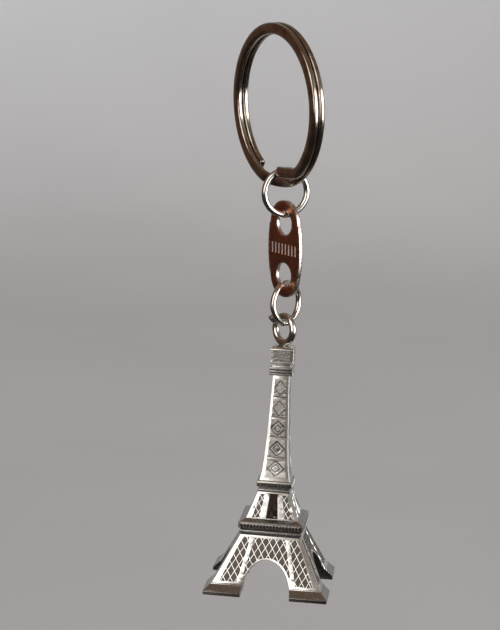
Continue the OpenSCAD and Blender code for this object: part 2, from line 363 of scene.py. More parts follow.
def build_tag():
    n_out, n_hole = 150, 60
    bev = 0.13
    steps = [(0.0, bev), (bev * 0.3, bev * 0.3), (bev, 0.0)]       # (inset, drop) from the side wall to the face
    top = TAG_T / 2
    pts2, edges2, zval = [], [], []

    def ring(P):
        s = len(pts2)
        for p in P:
            pts2.append(tuple(p))
        for i in range(len(P)):
            edges2.append((s + i, s + (i + 1) % len(P)))
        return s, len(P)

    loops = []
    for inset, drop in steps:
        P = tag_outline(n_out, inset)
        loops.append((ring(P), drop))
    holes = []
    for sgn in (-1, 1):
        hs = []
        for inset, drop in steps:
            a = np.linspace(0, 2 * np.pi, n_hole, endpoint=False)
            r = HOLE_D / 2 + inset
            hs.append((ring(np.c_[r * np.cos(a), sgn * hole_z + r * np.sin(a)]), drop))
        holes.append(hs)
    marks = []
    for x, q in mark_shapes():
        c = q.mean(0)
        outer = q + [x, 0]
        k = 0.62 if len(q) == 4 and abs(q[0][1]) > 0.1 else 0.66
        inner = (q - c) * [k, 0.88 if abs(q[0][1]) > 0.1 else 0.66] + c + [x, 0]
        ring(outer); ring(inner)
        marks.append((outer, inner))
    # free points inside, for a smooth sheet
    g = [(x, z) for x in np.arange(-4.4, 4.41, 0.55) for z in np.arange(-8.4, 8.41, 0.55)]
    for x, z in g:
        if min(math.hypot(x, z - hole_z), math.hypot(x, z + hole_z)) < HOLE_D / 2 + 0.35:
            continue
        if math.hypot(abs(x) + 22 - TAG_W / 2, z) - 22 > -0.4 or (abs(z) > 4.4 and math.hypot(x, abs(z) - 4.4) > 3.8):
            continue
        if abs(z) < 1.2 and abs(x) < 3.9:
            continue
        pts2.append((x, z))
    res = delaunay_2d_cdt([Vector(p) for p in pts2], edges2, [], 0, 1e-5)
    v2 = np.array([tuple(p) for p in res[0]])
    tris = [tuple(f) for f in res[2]]

    out0 = tag_outline(n_out, 0.0)

    def inside_poly(P, poly):
        x, y = P[:, 0], P[:, 1]
        r = np.zeros(len(P), bool)
        j = len(poly) - 1
        for i in range(len(poly)):
            c = ((poly[i][1] > y) != (poly[j][1] > y)) & (x < (poly[j][0] - poly[i][0]) * (y - poly[i][1]) / (poly[j][1] - poly[i][1] + 1e-30) + poly[i][0])
            r ^= c
            j = i
        return r
    cen = np.array([v2[list(f)].mean(0) for f in tris])
    keep = inside_poly(cen, out0)
    for sgn in (-1, 1):
        keep &= np.hypot(cen[:, 0], cen[:, 1] - sgn * hole_z) > HOLE_D / 2 * math.cos(math.pi / n_hole) - 1e-6
    tris = [f for f, k in zip(tris, keep) if k]
    used = sorted({i for f in tris for i in f})
    remap = {u: i for i, u in enumerate(used)}
    v2 = v2[used]
    tris = [tuple(remap[i] for i in f) for f in tris]
    # height of each point: bevels at outline and holes, marks pressed in
    def dist_to(P, poly):
        best = np.full(len(P), 1e9)
        Q = np.vstack([poly, poly[:1]])
        for a, b in zip(Q[:-1], Q[1:]):
            ab = b - a
            t = np.clip(((P - a) @ ab) / (ab @ ab + 1e-12), 0, 1)
            best = np.minimum(best, np.linalg.norm(P - a - t[:, None] * ab, axis=1))
        return best
    dedge = dist_to(v2, out0)
    for sgn in (-1, 1):
        dedge = np.minimum(dedge, np.hypot(v2[:, 0], v2[:, 1] - sgn * hole_z) - HOLE_D / 2)
    dedge = np.clip(dedge, 0, None)
    drop = np.where(dedge < bev - 1e-3, bev - np.sqrt(np.clip(bev ** 2 - (bev - dedge) ** 2, 0, None)), 0)
    press = np.zeros(len(v2))
    for outer, inner in marks:
        ins = inside_poly(v2 * 0.999999, inner * 1.0) | (dist_to(v2, inner) < 1e-3)
        press[ins] = 0.15
    # punched sheet: very slight dishing towards the holes
    dish = 0.02 * np.exp(-((np.hypot(v2[:, 0], np.abs(v2[:, 1]) - hole_z) - HOLE_D / 2) / 0.5) ** 2)
    zt = top - drop - press - dish
    n = len(v2)
    V = np.vstack([np.c_[v2[:, 0], -zt, v2[:, 1]], np.c_[v2[:, 0], zt * 1.0, v2[:, 1]]])
    F = [tuple(f) for f in tris] + [tuple(n + i for i in reversed(f)) for f in tris]
    # side walls from the open borders
    from collections import Counter
    cnt = Counter()
    for f in tris:
        for i in range(3):
            e = (f[i], f[(i + 1) % 3])
            cnt[tuple(sorted(e))] += 1
    for f in tris:
        for i in range(3):
            a, b = f[i], f[(i + 1) % 3]
            if cnt[tuple(sorted((a, b)))] == 1:
                F.append((b, a, n + a, n + b))
    mk = np.r_[press / 0.15, press / 0.15]
    rim = np.r_[1 - smooth(0.05, 0.4, dedge), 1 - smooth(0.05, 0.4, dedge)]
    V3 = V @ (RC @ RZ(AZ_TAG)).T + up_chain(z_tag)
    o = new_object("link_tag", row(V3), F, attrs={"relief": mk, "rim": rim}, uvs=np.c_[V[:, 0], V[:, 2]] * 0.05)
    tidy(o, 0.0005)
    shade(o, 32)
    return o


# ---------------------------------------------------------------------------
# tower
# ---------------------------------------------------------------------------
# outline of the tower's side, [half width, height, fillet radius]
OUTLINE = [
    (10.88, 0.0, 0.0), (11.0, 0.1, 0.05), (11.0, 0.61, 0.07), (9.82, 1.77, 0.05), (9.78, 1.88, 0.03), (9.56, 1.94, 0.02),
    (5.42, 9.88, 0.03), (5.43, 10.28, 0.04), (5.6, 10.32, 0.06), (5.6, 10.74, 0.08), (5.46, 10.8, 0.04), (5.46, 11.12, 0.04),
    (5.85, 11.17, 0.07), (5.85, 12.24, 0.07), (4.76, 12.7, 0.05), (4.62, 12.78, 0.05), (3.62, 15.4, 0.8), (2.95, 17.26, 0.02),
    (3.0, 17.32, 0.05), (3.0, 17.72, 0.08), (2.86, 17.8, 0.04), (2.86, 18.16, 0.04), (3.12, 18.22, 0.08), (3.22, 18.5, 0.15),
    (3.22, 19.0, 0.2), (3.08, 19.28, 0.1), (2.78, 19.34, 0.04), (2.45, 21.0, 1.5), (2.25, 23.0, 2), (2.0, 27.0, 3), (1.83, 31.0, 3),
    (1.66, 35.0, 3), (1.54, 38.2, 0.04), (2.05, 38.26, 0.05), (2.17, 38.42, 0.06), (2.17, 39.68, 0.08), (2.04, 39.82, 0.05),
    (1.76, 39.87, 0.04), (1.76, 40.34, 0.04), (2.0, 40.4, 0.06), (2.15, 40.56, 0.08), (2.15, 42.95, 0.28), (1.76, 43.36, 0.3),
    (0.85, 43.46, 0.3), (0.35, 43.47, 0.0),
]


def filleted(pts):
    out = []
    for i, (h, z, r) in enumerate(pts):
        p = np.array([h, z])
        if r <= 0 or i in (0, len(pts) - 1):
            out.append(p)
            continue
        a, b = np.array(pts[i - 1][:2]), np.array(pts[i + 1][:2])
        u, v = a - p, b - p
        lu, lv = np.linalg.norm(u), np.linalg.norm(v)
        u, v = u / lu, v / lv
        cosang = np.clip(u @ v, -1, 1)
        ang = math.acos(cosang)
        d = min(r / max(math.tan(ang / 2), 1e-3), 0.45 * lu, 0.45 * lv)
        n = 4 if r < 0.5 else 8
        for k in range(n + 1):
            t = k / n
            out.append((p + u * d) * (1 - t) ** 2 + 2 * p * t * (1 - t) + (p + v * d) * t ** 2)
    return np.array(out)


def supported(P):
    """Rows along the outline: its own points, with one close to each end of every long stretch."""
    out = [P[0]]
    for a, b in zip(P[:-1], P[1:]):
        L = np.linalg.norm(b - a)
        if L > 0.3:
            for t in (0.05, L / 2, L - 0.05) if L > 2.5 else (0.05, L - 0.05):
                out.append(a + (b - a) * t / L)
        out.append(b)
    return np.array(out)


def arch_x(z):
    return ARCH_R * np.sqrt(np.clip(1 - (np.asarray(z) / ARCH_H) ** 2, 0, 1))


PILLOW = 0.085


def leg_in(z): return 4.5 - (z - 2.42) * 1.8 / 7.48
def leg_out(z): return 9.56 - (z - 1.94) * 4.14 / 7.94


def seg_dist(P, a, b):
    ab = b - a
    t = np.clip(((P - a) @ ab) / (ab @ ab + 1e-12), 0, 1)
    return np.linalg.norm(P - a - t[:, None] * ab, axis=1)


def poly_dist(P, poly):
    best = np.full(len(P), 1e9)
    for a, b in zip(poly, np.roll(poly, -1, 0)):
        best = np.minimum(best, seg_dist(P, a, b))
    return best


def in_poly(P, poly):
    x, y = P[:, 0], P[:, 1]
    r = np.zeros(len(P), bool)
    j = len(poly) - 1
    for i in range(len(poly)):
        c = ((poly[i][1] > y) != (poly[j][1] > y)) & (
            x < (poly[j][0] - poly[i][0]) * (y - poly[i][1]) / (poly[j][1] - poly[i][1] + 1e-30) + poly[i][0])
        r ^= c
        j = i
    return r


def inset(poly, d):
    """The polygon moved inwards by d, for outlines that run counter-clockwise."""
    n = len(poly)
    out = []
    for i in range(n):
        p0, p1, p2 = poly[i - 1], poly[i], poly[(i + 1) % n]
        u, v = p1 - p0, p2 - p1
        u, v = u / np.linalg.norm(u), v / np.linalg.norm(v)
        nu, nv = np.array([-u[1], u[0]]), np.array([-v[1], v[0]])
        k = nu + nv
        k = k / max(np.linalg.norm(k), 1e-9)
        out.append(p1 + k * d / max(k @ nu, 0.35))
    return np.array(out)


def clip_line(poly, p, d):
    """Pieces of the line p + t d inside the polygon."""
    ts = []
    for a, b in zip(poly, np.roll(poly, -1, 0)):
        e = b - a
        det = d[0] * -e[1] + e[0] * d[1]
        if abs(det) < 1e-9:
            continue
        w = a - p
        t = (w[0] * -e[1] + e[0] * w[1]) / det
        u = (d[0] * w[1] - d[1] * w[0]) / det
        if -1e-9 <= u <= 1 + 1e-9:
            ts.append(t)
    ts = sorted(ts)
    out = []
    for t0, t1 in zip(ts[:-1], ts[1:]):
        if t1 - t0 > 0.02 and in_poly(np.array([p + d * (t0 + t1) / 2]), poly)[0]:
            out.append((p + d * t0, p + d * t1))
    return out


class Face:
    """One face of the tower laid flat: x across, s up along the outline. Relief is cut along its own edges."""

    def __init__(self):
        P = supported(filleted(OUTLINE))
        self.h, self.z = P[:, 0], P[:, 1]
        self.s = np.concatenate([[0], np.cumsum(np.linalg.norm(np.diff(P, axis=0), axis=1))])
        self.pts, self.edges, self.cuts, self.free = [], [], [], []

    def S(self, z): return np.interp(z, self.z, self.s)

    def line(self, P, closed=False):
        b = len(self.pts)
        self.pts += [tuple(p) for p in P]
        n = len(P)
        self.edges += [(b + i, b + (i + 1) % n) for i in range(n if closed else n - 1)]

    def panel(self, poly, depth, soft=0.08, lattice=None, strokes=(), dark=1.0, rough=None, mirror=True):
        """A sunk field with its sloped wall, crossing bars and raised strokes left standing."""
        poly = np.array(poly, float)
        area = 0.5 * np.sum(poly[:, 0] * np.roll(poly[:, 1], -1) - np.roll(poly[:, 0], -1) * poly[:, 1])
        if area < 0:
            poly = poly[::-1]
        self.line(poly, True)
        self.line(inset(poly, soft), True)
        fams = []
        if lattice:
            ang, pitch, w1, w2, phase = lattice
            c = poly.mean(0)
            for sg in (-1, 1):
                d = np.array([sg * S(ang), C(ang)])
                nrm = np.array([d[1], -d[0]])
                ref = np.array([phase * sg, 0.0])
                fams.append((nrm, ref, pitch, w1, w2))
                lo_, hi_ = ((poly - ref) @ nrm).min(), ((poly - ref) @ nrm).max()
                for i in range(int(math.floor(lo_ / pitch)) - 1, int(math.ceil(hi_ / pitch)) + 2):
                    for w in (-w2, -w1, 0, w1, w2):
                        for a, b in clip_line(poly, ref + nrm * (i * pitch + w), d):
                            self.line([a, b])
        boxes = []
        for (a, b, w1, w2) in strokes:
            a, b = np.array(a, float), np.array(b, float)
            L = np.linalg.norm(b - a)
            u = (b - a) / L
            v = np.array([-u[1], u[0]])
            boxes.append(((a + b) / 2, u, v, L / 2, w1, w2))
            for w in (w1, w2):
                e = L / 2 + (w - w1)
                q = [(a + b) / 2 + sx * u * e + sy * v * w for sx, sy in ((-1, -1), (1, -1), (1, 1), (-1, 1))]
                self.line(q, True)
            self.line([a, b])
        self.cuts.append((poly, depth, soft, fams, boxes, dark, rough))

    def depth(self, P):
        """Depth and darkness at flat points P."""
        D, K = np.zeros(len(P)), np.zeros(len(P))
        for poly, depth, soft, fams, boxes, dark, rough in self.cuts:
            lo_, hi_ = poly.min(0), poly.max(0)
            idx = np.where((P[:, 0] > lo_[0]) & (P[:, 0] < hi_[0]) & (P[:, 1] > lo_[1]) & (P[:, 1] < hi_[1]))[0]
            if not len(idx):
                continue
            idx = idx[in_poly(P[idx], poly)]
            if not len(idx):
                continue
            Q = P[idx]
            f = np.clip(poly_dist(Q, poly) / soft, 0, 1)
            for nrm, ref, pitch, w1, w2 in fams:
                d = ((Q - ref) @ nrm) / pitch
                d = np.abs(d - np.round(d)) * pitch
                f = np.minimum(f, np.interp(d, [0, w1, w2], [0.0, 0.1, 1.0]))
            for c, u, v, hl, w1, w2 in boxes:
                g = np.maximum(np.abs((Q - c) @ v) - w1, np.abs((Q - c) @ u) - hl) / (w2 - w1)
                f = np.minimum(f, np.clip(g, 0, 1) * 0.93 + 0.07 * np.clip(g + 0.6, 0, 1))
            d = depth * f
            if rough is not None:
                d = d - f * rough(Q)
            D[idx] = np.maximum(D[idx], d)
            # the sunk field darkens by dark: patina together with painted shade
            K[idx] = np.maximum(K[idx], dark * f)
        return D, K

    def grid(self, x0, x1, z0, z1, step):
        """Free points for grain, jittered so that they show no rows."""
        s0, s1 = self.S(z0), self.S(z1)
        nx, ns = max(2, int((x1 - x0) / step)), max(2, int((s1 - s0) / step))
        for i in range(nx + 1):
            for j in range(ns + 1):
                q = np.array([x0 + (x1 - x0) * (i + (0.25 if j % 2 else -0.25)) / nx, s0 + (s1 - s0) * j / ns])
                self.free.append(q)


def build_face():
    f = Face()
    h, z, s = f.h, f.z, f.s
    Sx = f.S
    rc = 0.14
    # arch samples: every row and every few degrees
    crown_s = Sx(ARCH_H)
    az_ = np.unique(np.concatenate([z[z < ARCH_H - 0.004], ARCH_H * np.sin(np.radians(np.linspace(0, 87, 46))), [ARCH_H]]))
    keep = [az_[0]]
    rows_z = set(np.round(z, 9))
    for q in az_[1:]:
        if q - keep[-1] < 0.012 and round(float(q), 9) not in rows_z and q < ARCH_H:
            continue
        keep.append(q)
    az_ = np.array(keep)
    # edges of the field: outer sides and arch
    right = np.c_[h - rc, s]
    left = np.c_[-(h - rc), s]
    as_ = Sx(az_)
    ax_ = arch_x(az_)
    f.line(right)
    f.line(left)
    f.line(np.r_[np.c_[ax_, as_], np.c_[-ax_[::-1][1:], as_[::-1][1:]]])
    f.line([(arch_x(0.0), 0.0), (h[0] - rc, 0.0)])
    f.line([(-arch_x(0.0), 0.0), (-(h[0] - rc), 0.0)])
    f.line(np.c_[h - rc - 0.06, s])
    f.line(np.c_[-(h - rc - 0.06), s])
    # the arch's softened lip
    for e in (0.03, 0.08):
        zz = np.r_[az_[::2], az_[-1:]]
        k = (ARCH_R + e) / ARCH_R
        zz = np.unique(np.minimum(zz * (ARCH_H + e) / ARCH_H, ARCH_H + e))
        xx = (ARCH_R + e) * np.sqrt(np.clip(1 - (zz / (ARCH_H + e)) ** 2, 0, 1))
        f.line(np.r_[np.c_[xx, Sx(zz)], np.c_[-xx[::-1], Sx(zz)[::-1]]])
    for hh, zz, ss in zip(h, z, s):
        if zz < ARCH_H - 1e-6:
            f.line([(float(arch_x(zz)), ss), (hh - rc, ss)])
            f.line([(-float(arch_x(zz)), ss), (-(hh - rc), ss)])
        else:
            f.line([(-(hh - rc), ss), (hh - rc, ss)])

    def grain(scale, amp, seed):
        def g(Q):
            P3 = np.c_[Q[:, 0], Q[:, 1], 0 * Q[:, 0]]
            return amp * np.clip(noise(P3, scale, seed) * 0.6 + noise(P3, scale * 2.1, seed + 1) * 0.4 + 0.3, 0, 1)
        return g
    # legs
    for m in (-1, 1):
        lz = [2.28, 9.5]
        inn = [leg_in(q) + 0.66 for q in lz]
        out = [leg_out(lz[0]) - 1.12, leg_out(lz[1]) - 0.74]
        f.panel([(m * inn[0], Sx(lz[0])), (m * out[0], Sx(lz[0])), (m * out[1], Sx(lz[1])), (m * inn[1], Sx(lz[1]))],
                0.165, 0.09, lattice=(29.3, 1.1, 0.07, 0.15, 0.35))
        # the narrow groove inside each outer border
        g0, g1 = leg_out(2.35) - 0.86, leg_out(9.4) - 0.56
        f.panel([(m * g0, Sx(2.35)), (m * (g0 + 0.09), Sx(2.35)), (m * (g1 + 0.09), Sx(9.4)), (m * g1, Sx(9.4))], 0.05, 0.035, dark=0.7)
    # web over the arch
    e = 0.34
    zs = np.linspace(3.5, ARCH_H + e, 22)
    rim = (ARCH_R + e) * np.sqrt(np.clip(1 - (zs / (ARCH_H + e)) ** 2, 0, 1))
    web = [(leg_in(9.5) - 0.04, Sx(9.5)), (-(leg_in(9.5) - 0.04), Sx(9.5)), (-(leg_in(3.5) - 0.04), Sx(3.5))]
    web += [(-a, Sx(b)) for a, b in zip(rim, zs)] + [(a, Sx(b)) for a, b in zip(rim[::-1][1:], zs[::-1][1:])]
    web += [(leg_in(3.5) - 0.04, Sx(3.5))]
    f.panel(web, 0.165, 0.09, lattice=(29.3, 1.1, 0.07, 0.15, 0.35))
    # second stage
    hm = lambda q: float(np.interp(q, [12.78, 15.4, 17.26], [4.62, 3.6, 2.95]))
    for m in (-1, 1):
        a, b = 13.0, 16.95
        zz = [a, 15.0, b]
        lo_ = [(m * hm(q) * 0.5, Sx(q)) for q in zz]
        up = [(m * hm(q) * 0.78, Sx(q)) for q in zz[::-1]]
        f.panel(lo_ + up, 0.14, 0.08, lattice=(31, 0.84, 0.055, 0.12, 0.1))
    zz = [12.9, 15.0, 17.1]
    cen = [(hm(q) * 0.235, Sx(q)) for q in zz] + [(-hm(q) * 0.235, Sx(q)) for q in zz[::-1]]
    f.panel(cen, 0.36, 0.16, dark=1.2, rough=lambda Q: grain(2.6, 0.2, 41)(Q) * (1 - smooth(Sx(13.6), Sx(15.3), Q[:, 1])))
    f.grid(-0.85, 0.85, 13.05, 15.3, 0.15)
    # spire: five plain braced fields, divided by cross bars
    hs = lambda q: float(np.interp(q, z[(z > 19.3) & (z < 38.25)], h[(z > 19.3) & (z < 38.25)]))
    for i in range(5):
        z0, z1 = 19.85 + i * 3.6, 19.85 + i * 3.6 + 3.38
        zz = np.linspace(z0, z1, 4)
        bw = 0.52 - i * 0.035
        poly = [(hs(q) - bw, Sx(q)) for q in zz] + [(-(hs(q) - bw), Sx(q)) for q in zz[::-1]]
        wc = hs((z0 + z1) / 2) - bw
        zc = (z0 + z1) / 2
        f.panel(poly, 0.07, 0.06, dark=0.2, rough=grain(3.0, 0.012, 51))
        for kx, kz in (((0.84, 1.36), (0.4, 0.66)) if i < 3 else ((0.84, 1.36),)):
            q = [(wc * kx, 0), (0, kz), (-wc * kx, 0), (0, -kz)]
            for a, b in zip(q, q[1:] + q[:1]):
                a, b = np.array([a[0], Sx(zc + a[1])]), np.array([b[0], Sx(zc + b[1])])
                u = (b - a) / np.linalg.norm(b - a)
                v = np.array([-u[1], u[0]]) * 0.095
                f.panel([a - u * 0.05 - v, b + u * 0.05 - v, b + u * 0.05 + v, a - u * 0.05 + v], 0.14, 0.085, dark=1.1)
        f.grid(-wc, wc, z0 + 0.2, z1 - 0.2, 0.22)
    # first deck: blind arcade on the fascia, ticks in the moulding under it
    n = 19
    for i in range(n):
        x0 = -5.45 + 10.9 * (i + 0.5) / n
        w = 0.19
        f.panel([(x0 - w, Sx(11.42)), (x0 + w, Sx(11.42)), (x0 + w, Sx(11.82)), (x0 + 0.1, Sx(11.99)), (x0 - 0.1, Sx(11.99)), (x0 - w, Sx(11.82))],
                0.13, 0.05, dark=0.95)
    for i in range(25):
        x0 = -5.2 + 10.4 * (i + 0.5) / 25
        f.panel([(x0 - 0.1, Sx(10.42)), (x0 + 0.1, Sx(10.42)), (x0 + 0.1, Sx(10.62)), (x0 - 0.1, Sx(10.62))], 0.06, 0.035, dark=0.8)
    # second deck: beaded rail
    for i in range(13):
        x0 = -2.95 + 5.9 * (i + 0.5) / 13
        f.panel([(x0 - 0.15, Sx(18.48)), (x0 + 0.15, Sx(18.48)), (x0 + 0.15, Sx(18.98)), (x0 - 0.15, Sx(18.98))], 0.085, 0.05, dark=0.9)
    # collar: two grooves right across
    for zc in (38.8, 39.3):
        f.panel([(-1.99, Sx(zc - 0.09)), (1.99, Sx(zc - 0.09)), (1.99, Sx(zc + 0.09)), (-1.99, Sx(zc + 0.09))], 0.09, 0.05, dark=0.9)
    # grainy stretches: foot slopes, the roof of the first deck, the cap
    for m in (-1, 1):
        f.grid(min(m * 4.75, m * 9.9), max(m * 4.75, m * 9.9), 0.66, 1.72, 0.2)
    f.grid(-4.6, 4.6, 12.3, 12.66, 0.2)
    f.grid(-1.9, 1.9, 40.62, 42.85, 0.105)
    # triangulate
    base_pts = np.array(f.pts)
    fr = np.array(f.free)
    hr = np.interp(fr[:, 1], s, h) - rc - 0.12
    zr = np.interp(fr[:, 1], s, z)
    ok = (np.abs(fr[:, 0]) < hr) & ~((zr < ARCH_H + 0.2) & (np.abs(fr[:, 0]) < arch_x(np.minimum(zr, ARCH_H)) + 0.15))
    pts = [Vector(p) for p in f.pts] + [Vector(p) for p in fr[ok].tolist()]
    res = delaunay_2d_cdt(pts, f.edges, [], 1, 1e-5)
    V2 = np.array([tuple(p) for p in res[0]])
    T = np.array([tuple(t) for t in res[2] if len(t) == 3])
    # drop anything in the arch or past the sides
    cen = V2[T].mean(1)
    ch, cz = np.interp(cen[:, 1], s, h), np.interp(cen[:, 1], s, z)
    inside = np.abs(cen[:, 0]) < ch - rc + 1e-4
    ac = np.interp(cz, az_, ax_)
    inside &= ~((cz < ARCH_H) & (np.abs(cen[:, 0]) < ac - 1e-5))
    T = T[inside]
    D, K = f.depth(V2)
    vh, vz = np.interp(V2[:, 1], s, h), np.interp(V2[:, 1], s, z)
    P3 = np.c_[V2[:, 0], V2[:, 1], 0 * V2[:, 0]]
    g = noise(P3, 3.0, 5) * 0.5 + noise(P3, 5.6, 6) * 0.5
    zc = vz
    side = np.clip((vh - rc - 0.03 - np.abs(V2[:, 0])) / 0.2, 0, 1)
    foot = smooth(0.62, 0.72, zc) * (1 - smooth(1.66, 1.76, zc)) * side
    D += foot * (0.03 + 0.04 * g)
    rf = smooth(12.26, 12.32, zc) * (1 - smooth(12.62, 12.68, zc)) * side
    D += rf * 0.03 * (g + 1) * 0.5
    cp = smooth(40.55, 40.75, zc) * (1 - smooth(42.7, 43.0, zc)) * side
    ham = noise(P3, 6.3, 21) * 0.6 + noise(P3, 10.0, 22) * 0.4
    D += cp * (0.03 + 0.016 * ham)
    K = np.maximum(K, cp * 0.34)
    # painted shade and dark reflection: the foot pads, deck fascias, roofs and collar rows are darkened
    for a, b, k in ((0.0, 0.6, 0.92), (0.6, 1.8, 0.5), (10.3, 10.8, 0.35), (10.78, 11.16, 0.9), (11.16, 12.26, 0.62), (12.26, 12.72, 0.5),
                    (17.74, 18.2, 0.7), (18.2, 19.3, 0.5), (38.26, 39.86, 0.25)):
        K = np.where((zc >= a) & (zc < b), np.maximum(K, k), K)
    # the borders fall away a little towards the corners
    w = np.minimum(0.75, vh * 0.22)
    D += PILLOW * np.clip((np.abs(V2[:, 0]) - (vh - rc - w)) / w, 0, 1) * smooth(0, 0.02, np.abs(V2[:, 0]) + 1)
    # the arch's lip
    r = np.sqrt((V2[:, 0] / ARCH_R) ** 2 + (vz / ARCH_H) ** 2)
    near = (r - 1) * 4.9
    lip = (vz < ARCH_H + 0.3) & (near < 0.09)
    D = np.where(lip, np.interp(near, [0, 0.03, 0.08], [0.055, 0.018, 0.0]), D)
    V = np.c_[V2[:, 0], -(vh - D), vz]
    return f, V, T, K, rc, az_


def build_tower():
    f, FV, FT, FK, rc, az_ = build_face()
    h, z = f.h, f.z
    verts, faces, dark = [], [], []
    count = 0

    def put(V, F, K):
        nonlocal count
        verts.append(V)
        dark.append(K)
        faces.extend((np.asarray(F) + count).tolist())
        count += len(V)

    def quads(nr, nc, flip):
        i, j = np.meshgrid(np.arange(nr - 1), np.arange(nc - 1), indexing="ij")
        a = (i * nc + j).ravel()
        q = np.c_[a, a + 1, a + nc + 1, a + nc]
        return q[:, ::-1] if flip else q
    # painted shade and dark reflection: the same darkened rows of pads, fascias, roofs and collar on the corners
    rowK = np.interp(h * 0 + z, z, z) * 0
    for a, b, k in ((0.0, 0.6, 0.92), (0.6, 1.8, 0.5), (10.3, 10.8, 0.35), (10.78, 11.16, 0.9), (11.16, 12.26, 0.62), (12.26, 12.72, 0.5),
                    (17.74, 18.2, 0.7), (18.2, 19.3, 0.5), (38.26, 39.86, 0.25)):
        rowK = np.where((z >= a) & (z < b), k, rowK)
    hz = np.interp(az_, z, h)
    xa = arch_x(az_)
    for side in range(4):
        R = RZ(90 * side)
        put(FV @ R.T, FT, FK)
        # rounded corner to the next face, in one strip of the same rows
        A = np.radians(np.linspace(0, 90, 7))
        W = np.zeros((len(h), 7, 3))
        for k, a in enumerate(A):
            W[:, k, 0] = h - rc + (rc - PILLOW) * math.sin(a)
            W[:, k, 1] = -(h - rc + (rc - PILLOW) * math.cos(a))
            W[:, k, 2] = z
        put((W @ R.T).reshape(-1, 3), quads(len(h), 7, False), np.repeat(rowK, 7))
        # walls of the passage under the arch
        for sx in (-1, 1):
            M = 14
            W = np.zeros((len(az_), M + 1, 3))
            front = hz - 0.055
            for k in range(M + 1):
                t = k / M
                W[:, k, 0] = sx * xa
                W[:, k, 1] = -(front * (1 - t) + xa * t)
                W[:, k, 2] = az_
            # painted shade: the passage walls under the arch are set dark (0.7)
            put((W @ R.T).reshape(-1, 3), quads(len(az_), M + 1, sx > 0), np.full(len(az_) * (M + 1), 0.7))
    V = np.vstack(verts)
    o = new_object("tower_casting", V, faces, attrs={"relief": np.concatenate(dark)})
    tidy(o, 0.002)
    # close the feet and the top
    bm = bmesh.new()
    bm.from_mesh(o.data)
    rim = [e for e in bm.edges if e.is_boundary]
    bmesh.ops.holes_fill(bm, edges=rim, sides=0)
    bmesh.ops.recalc_face_normals(bm, faces=bm.faces)
    bm.to_mesh(o.data)
    bm.free()
    # cast loop with a swelling where it grows out of the cap
    A = np.linspace(0, 2 * np.pi, 96, endpoint=False)
    r = (LOOP_OD - LOOP_WIRE) / 2
    P = np.c_[r * np.cos(A), 0 * A, r * np.sin(A)]
    Nn = np.c_[np.cos(A), 0 * A, np.sin(A)]
    Vl, Fl, _ = sweep(P, Nn, circle_section(LOOP_WIRE - 0.02, 28), closed=True)
    # swell the wire sideways at the root, as a casting is, and wobble it a little
    root = 1 - smooth(-2.9, -1.7, Vl[:, 2])
    Vl[:, 1] *= 1 + 0.35 * root
    wav = 0.012 * noise(Vl, 1.4, 31)
    Vl = Vl * (1 - wav[:, None] * 0.3)
    Vl = Vl @ RZ(AZ_LOOP).T + [0, 0, loop_z]
    # painted shade: the loop darkens towards its root where it meets the cap
    lo_ = new_object("loop_part", Vl, Fl, attrs={"relief": 0.15 + 0.5 * (1 - smooth(-2.8, -2.0, np.repeat(P[:, 2], 28)))})
    tidy(lo_)
    md = o.modifiers.new("join", "BOOLEAN")
    md.operation = "UNION"
    md.solver = "MANIFOLD"
    md.object = lo_
    dg = bpy.context.evaluated_depsgraph_get()
    me = bpy.data.meshes.new_from_object(o.evaluated_get(dg))
    o.modifiers.clear()
    n_before = len(o.data.polygons)
    if len(me.polygons) > n_before * 0.8:
        o.data = me
    else:
        raise RuntimeError("loop union failed")
    bpy.data.objects.remove(lo_)
    o.data.transform(Matrix.Translation(Vector((base * 0.001).tolist())))
    shade(o, 27)
    return o


# ---------------------------------------------------------------------------
# materials
# ---------------------------------------------------------------------------


